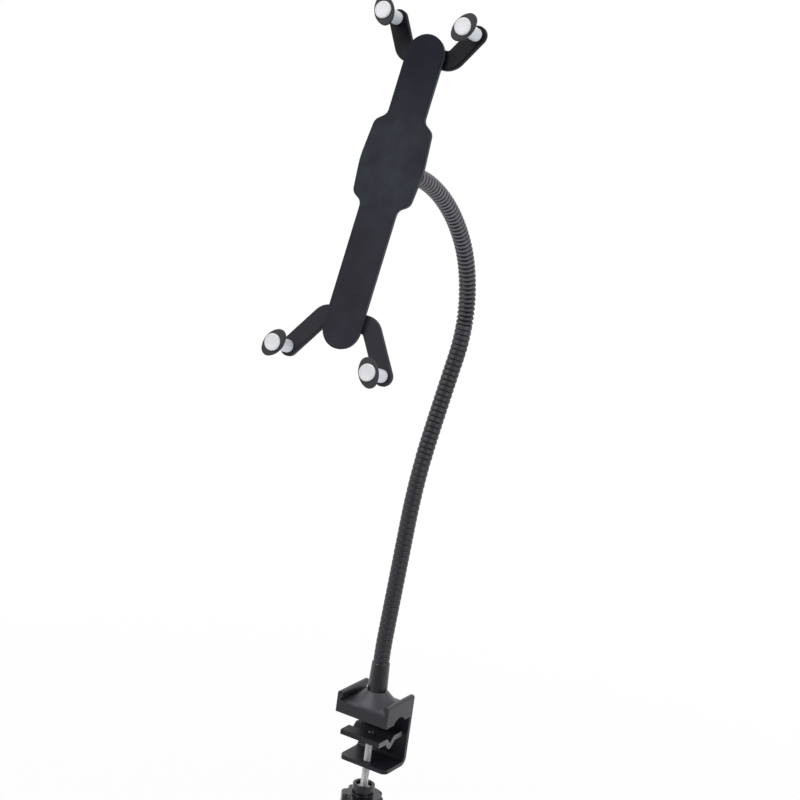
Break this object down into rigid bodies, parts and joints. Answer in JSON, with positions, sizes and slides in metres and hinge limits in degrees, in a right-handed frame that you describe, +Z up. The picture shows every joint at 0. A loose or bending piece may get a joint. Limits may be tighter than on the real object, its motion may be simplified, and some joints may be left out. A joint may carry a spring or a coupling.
{
  "type": "flexible arm tablet holder",
  "caption": "Tablet holder with a gripping panel of swinging legs on a ball joint, on a bendable ribbed arm with a screw clamp for a round rail.",
  "frame": {"origin": "on the axis of the rail that the clamp holds, at the middle of the clamp and under the arm", "axes": "+X along the rail, +Y away from the person who looks at the tablet, +Z up along the arm's foot"},
  "size_m": [0.101, 0.2064, 0.6419],
  "materials": {
    "jaw_plastic": "moulded black, satin",
    "coated_steel": "black powder coat",
    "zinc_steel": "zinc plated",
    "screw_steel": "blackened steel",
    "knob_plastic": "moulded black, glossy",
    "sleeve_metal": "black satin enamel",
    "arm_coat": "ribbed steel hose, black coat",
    "ball_metal": "polished",
    "socket_plastic": "moulded black",
    "spine_plastic": "moulded charcoal",
    "soft_pad": "soft-touch charcoal",
    "leg_plastic": "moulded charcoal",
    "post_plastic": "moulded white, satin",
    "lip_rubber": "dark rubber",
    "cap_plastic": "moulded white, satin",
    "pivot_steel": "bright steel"
  },
  "bodies": {
    "clamp": {"upper_jaw": "jaw_plastic", "clamp_frame": "coated_steel", "frame_screws": "screw_steel", "arm_foot": "jaw_plastic", "foot_bolt": "screw_steel", "base_sleeve": "sleeve_metal", "arm_link_1": "arm_coat"},
    "jaw": {"lower_jaw": "coated_steel"},
    "screw": {"clamp_screw": "zinc_steel", "screw_ring": "zinc_steel", "knob": "knob_plastic", "knob_nut": "zinc_steel"},
    "arm_low": {"arm_link_2": "arm_coat"},
    "arm_mid": {"arm_link_3": "arm_coat"},
    "arm_high": {"arm_link_4": "arm_coat", "head_sleeve": "sleeve_metal"},
    "ball": {"ball_stud": "ball_metal"},
    "head": {"socket_cup": "socket_plastic", "socket_screws": "screw_steel", "spine_plate": "spine_plastic", "face_pad": "soft_pad", "pivot_screws": "pivot_steel", "pivot_washers": "pivot_steel"},
    "locking_ring": {"lock_ring": "socket_plastic"},
    "leg_upper_left": {"leg_upper_left": "leg_plastic", "post_upper_left": "post_plastic", "lip_upper_left": "lip_rubber", "cap_upper_left": "cap_plastic", "post_screw_upper_left": "screw_steel"},
    "leg_upper_right": {"leg_upper_right": "leg_plastic", "post_upper_right": "post_plastic", "lip_upper_right": "lip_rubber", "cap_upper_right": "cap_plastic", "post_screw_upper_right": "screw_steel"},
    "leg_lower_left": {"leg_lower_left": "leg_plastic", "post_lower_left": "post_plastic", "lip_lower_left": "lip_rubber", "cap_lower_left": "cap_plastic", "post_screw_lower_left": "screw_steel"},
    "leg_lower_right": {"leg_lower_right": "leg_plastic", "post_lower_right": "post_plastic", "lip_lower_right": "lip_rubber", "cap_lower_right": "cap_plastic", "post_screw_lower_right": "screw_steel"}
  },
  "joints": [
    {"name": "jaw_slide", "type": "slide", "parent": "clamp", "child": "jaw", "axis": [0, 0, 1], "range_m": [-0.01, 0.01]},
    {"name": "screw_turn", "type": "hinge", "parent": "jaw", "child": "screw", "pos_m": [0, 0, -0.035], "axis": [0, 0, 1], "range_deg": [-3600, 3600]},
    {"name": "arm_bend_low", "type": "hinge", "parent": "clamp", "child": "arm_low", "pos_m": [0, 0.011, 0.16036], "axis": [1, 0, 0], "range_deg": [-40, 30]},
    {"name": "arm_bend_mid", "type": "hinge", "parent": "arm_low", "child": "arm_mid", "pos_m": [0, 0.04052, 0.26664], "axis": [1, 0, 0], "range_deg": [-40, 30]},
    {"name": "arm_bend_high", "type": "hinge", "parent": "arm_mid", "child": "arm_high", "pos_m": [0, 0.04363, 0.37228], "axis": [1, 0, 0], "range_deg": [-40, 30]},
    {"name": "head_turn", "type": "hinge", "parent": "arm_high", "child": "ball", "pos_m": [0, -0.0693, 0.44518], "axis": [0, -0.9677, 0.2521], "continuous": true},
    {"name": "head_tilt", "type": "hinge", "parent": "ball", "child": "head", "pos_m": [0, -0.0693, 0.44518], "axis": [0.9992, -0.0101, -0.0388], "range_deg": [-30, 30]},
    {"name": "lock_ring_turn", "type": "hinge", "parent": "head", "child": "locking_ring", "pos_m": [0, -0.0693, 0.44518], "axis": [0, -0.9677, 0.2521], "range_deg": [-90, 90]},
    {"name": "leg_upper_left_swing", "type": "hinge", "parent": "head", "child": "leg_upper_left", "pos_m": [-0.00406, -0.06731, 0.52818], "axis": [0, -0.9677, 0.2521], "range_deg": [-29, 60]},
    {"name": "leg_upper_right_swing", "type": "hinge", "parent": "head", "child": "leg_upper_right", "pos_m": [0.01053, -0.06746, 0.52762], "axis": [0, 0.9677, -0.2521], "range_deg": [-29, 60]},
    {"name": "leg_lower_left_swing", "type": "hinge", "parent": "head", "child": "leg_lower_left", "pos_m": [-0.01183, -0.11607, 0.34099], "axis": [0, 0.9677, -0.2521], "range_deg": [-35, 60]},
    {"name": "leg_lower_right_swing", "type": "hinge", "parent": "head", "child": "leg_lower_right", "pos_m": [0.00276, -0.11622, 0.34042], "axis": [0, -0.9677, 0.2521], "range_deg": [-35, 60]}
  ],
  "couplings": [
    {"joint": "screw_turn", "follows": "jaw_slide", "rad_per_m": 6283.2}
  ]
}
